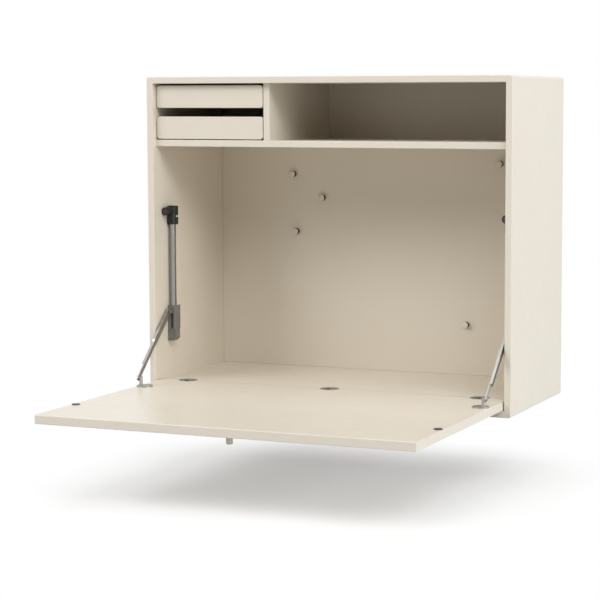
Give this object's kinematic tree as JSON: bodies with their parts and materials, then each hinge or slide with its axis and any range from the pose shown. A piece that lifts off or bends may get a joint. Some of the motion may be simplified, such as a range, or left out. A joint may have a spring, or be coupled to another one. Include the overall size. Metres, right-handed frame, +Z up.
{
  "type": "fold down wall desk",
  "caption": "Wall-hung desk cabinet with a fold-down writing flap on sliding stays, a magnetic back wall, an open shelf and pull-out trays.",
  "frame": {"origin": "on the wall plane, at the middle of the wall rail's row of screw holes", "axes": "+X to the right as the user faces the desk, +Y into the wall, +Z up"},
  "size_m": [0.696, 0.7128, 0.587],
  "materials": {
    "lacquered_board": "satin lacquer, warm pale grey",
    "lacquered_sheet": "satin lacquer, warm pale grey",
    "tray_board": "satin lacquer, warm pale grey",
    "runner_wood": "waxed hardwood",
    "zinc_plated_steel": "zinc plated",
    "satin_nickel": "satin nickel plated",
    "polished_steel": "polished",
    "black_plastic": "fine moulded texture",
    "dark_grey_plastic": "fine moulded texture",
    "bare_magnet": "sintered, ground",
    "burnished_steel": "burnished dark",
    "lacquered_knob": "satin lacquer, warm pale grey",
    "lacquered_magnet": "satin lacquer, warm pale grey"
  },
  "bodies": {
    "cabinet": {"left_side_panel": "lacquered_board", "right_side_panel": "lacquered_board", "top_panel": "lacquered_board", "bottom_panel": "lacquered_board", "back_panel": "lacquered_board", "desk_floor": "lacquered_board", "shelf": "lacquered_board", "divider": "lacquered_board", "steel_sheet": "lacquered_sheet", "lower_tray_left_runner": "runner_wood", "lower_tray_right_runner": "runner_wood", "upper_tray_left_runner": "runner_wood", "upper_tray_right_runner": "runner_wood", "wall_rail": "zinc_plated_steel", "left_hanger": "zinc_plated_steel", "right_hanger": "zinc_plated_steel", "hinge_left_floor_leaf": "satin_nickel", "hinge_centre_floor_leaf": "satin_nickel", "hinge_right_floor_leaf": "satin_nickel", "stay_left_tube": "polished_steel", "stay_left_top_fitting": "black_plastic", "stay_left_lower_block": "dark_grey_plastic", "stay_right_tube": "polished_steel", "stay_right_top_fitting": "black_plastic", "stay_right_lower_block": "dark_grey_plastic", "catch_left_magnet": "bare_magnet", "catch_right_magnet": "bare_magnet"},
    "flap": {"flap_panel": "lacquered_board", "flap_knob": "lacquered_knob", "hinge_left_flap_leaf": "satin_nickel", "hinge_left_pin": "satin_nickel", "hinge_centre_flap_leaf": "satin_nickel", "hinge_centre_pin": "satin_nickel", "hinge_right_flap_leaf": "satin_nickel", "hinge_right_pin": "satin_nickel", "stay_left_flap_plate": "satin_nickel", "stay_right_flap_plate": "satin_nickel", "catch_left_plate": "burnished_steel", "catch_right_plate": "burnished_steel"},
    "left_stay_arm": {"stay_left_arm": "satin_nickel"},
    "left_stay_slider": {"stay_left_slider": "dark_grey_plastic"},
    "right_stay_arm": {"stay_right_arm": "satin_nickel"},
    "right_stay_slider": {"stay_right_slider": "dark_grey_plastic"},
    "lower_tray": {"lower_tray_front": "lacquered_board", "lower_tray_left_side": "tray_board", "lower_tray_right_side": "tray_board", "lower_tray_back": "tray_board", "lower_tray_base": "tray_board"},
    "upper_tray": {"upper_tray_front": "lacquered_board", "upper_tray_left_side": "tray_board", "upper_tray_right_side": "tray_board", "upper_tray_back": "tray_board", "upper_tray_base": "tray_board"},
    "magnet_1": {"magnet_1": "lacquered_magnet"},
    "magnet_2": {"magnet_2": "lacquered_magnet"},
    "magnet_3": {"magnet_3": "lacquered_magnet"},
    "magnet_4": {"magnet_4": "lacquered_magnet"},
    "magnet_5": {"magnet_5": "lacquered_magnet"}
  },
  "joints": [
    {"name": "flap_hinge", "type": "hinge", "parent": "cabinet", "child": "flap", "pos_m": [0, -0.28, -0.519], "axis": [-1, 0, 0], "range_deg": [0, 90]},
    {"name": "left_arm_pivot", "type": "hinge", "parent": "flap", "child": "left_stay_arm", "pos_m": [-0.3295, -0.3754, -0.4965], "axis": [1, 0, 0], "range_deg": [0, 137.8]},
    {"name": "left_slider_pivot", "type": "hinge", "parent": "left_stay_arm", "child": "left_stay_slider", "pos_m": [-0.3295, -0.2582, -0.38817], "axis": [-1, 0, 0], "range_deg": [0, 47.8]},
    {"name": "right_arm_pivot", "type": "hinge", "parent": "flap", "child": "right_stay_arm", "pos_m": [0.3295, -0.3754, -0.4965], "axis": [1, 0, 0], "range_deg": [0, 137.8]},
    {"name": "right_slider_pivot", "type": "hinge", "parent": "right_stay_arm", "child": "right_stay_slider", "pos_m": [0.3295, -0.2582, -0.38817], "axis": [-1, 0, 0], "range_deg": [0, 47.8]},
    {"name": "lower_tray_slide", "type": "slide", "parent": "cabinet", "child": "lower_tray", "axis": [0, -1, 0], "range_m": [0, 0.17]},
    {"name": "upper_tray_slide", "type": "slide", "parent": "cabinet", "child": "upper_tray", "axis": [0, -1, 0], "range_m": [0, 0.17]},
    {"name": "magnet_1_pull", "type": "slide", "parent": "cabinet", "child": "magnet_1", "axis": [0, -1, 0], "range_m": [0, 0.05]},
    {"name": "magnet_2_pull", "type": "slide", "parent": "cabinet", "child": "magnet_2", "axis": [0, -1, 0], "range_m": [0, 0.05]},
    {"name": "magnet_3_pull", "type": "slide", "parent": "cabinet", "child": "magnet_3", "axis": [0, -1, 0], "range_m": [0, 0.05]},
    {"name": "magnet_4_pull", "type": "slide", "parent": "cabinet", "child": "magnet_4", "axis": [0, -1, 0], "range_m": [0, 0.05]},
    {"name": "magnet_5_pull", "type": "slide", "parent": "cabinet", "child": "magnet_5", "axis": [0, -1, 0], "range_m": [0, 0.05]}
  ],
  "couplings": [
    {"joint": "left_arm_pivot", "follows": "flap_hinge", "ratio": 1.5278},
    {"joint": "left_slider_pivot", "follows": "flap_hinge", "ratio": 0.5278},
    {"joint": "right_arm_pivot", "follows": "flap_hinge", "ratio": 1.5278},
    {"joint": "right_slider_pivot", "follows": "flap_hinge", "ratio": 0.5278}
  ]
}
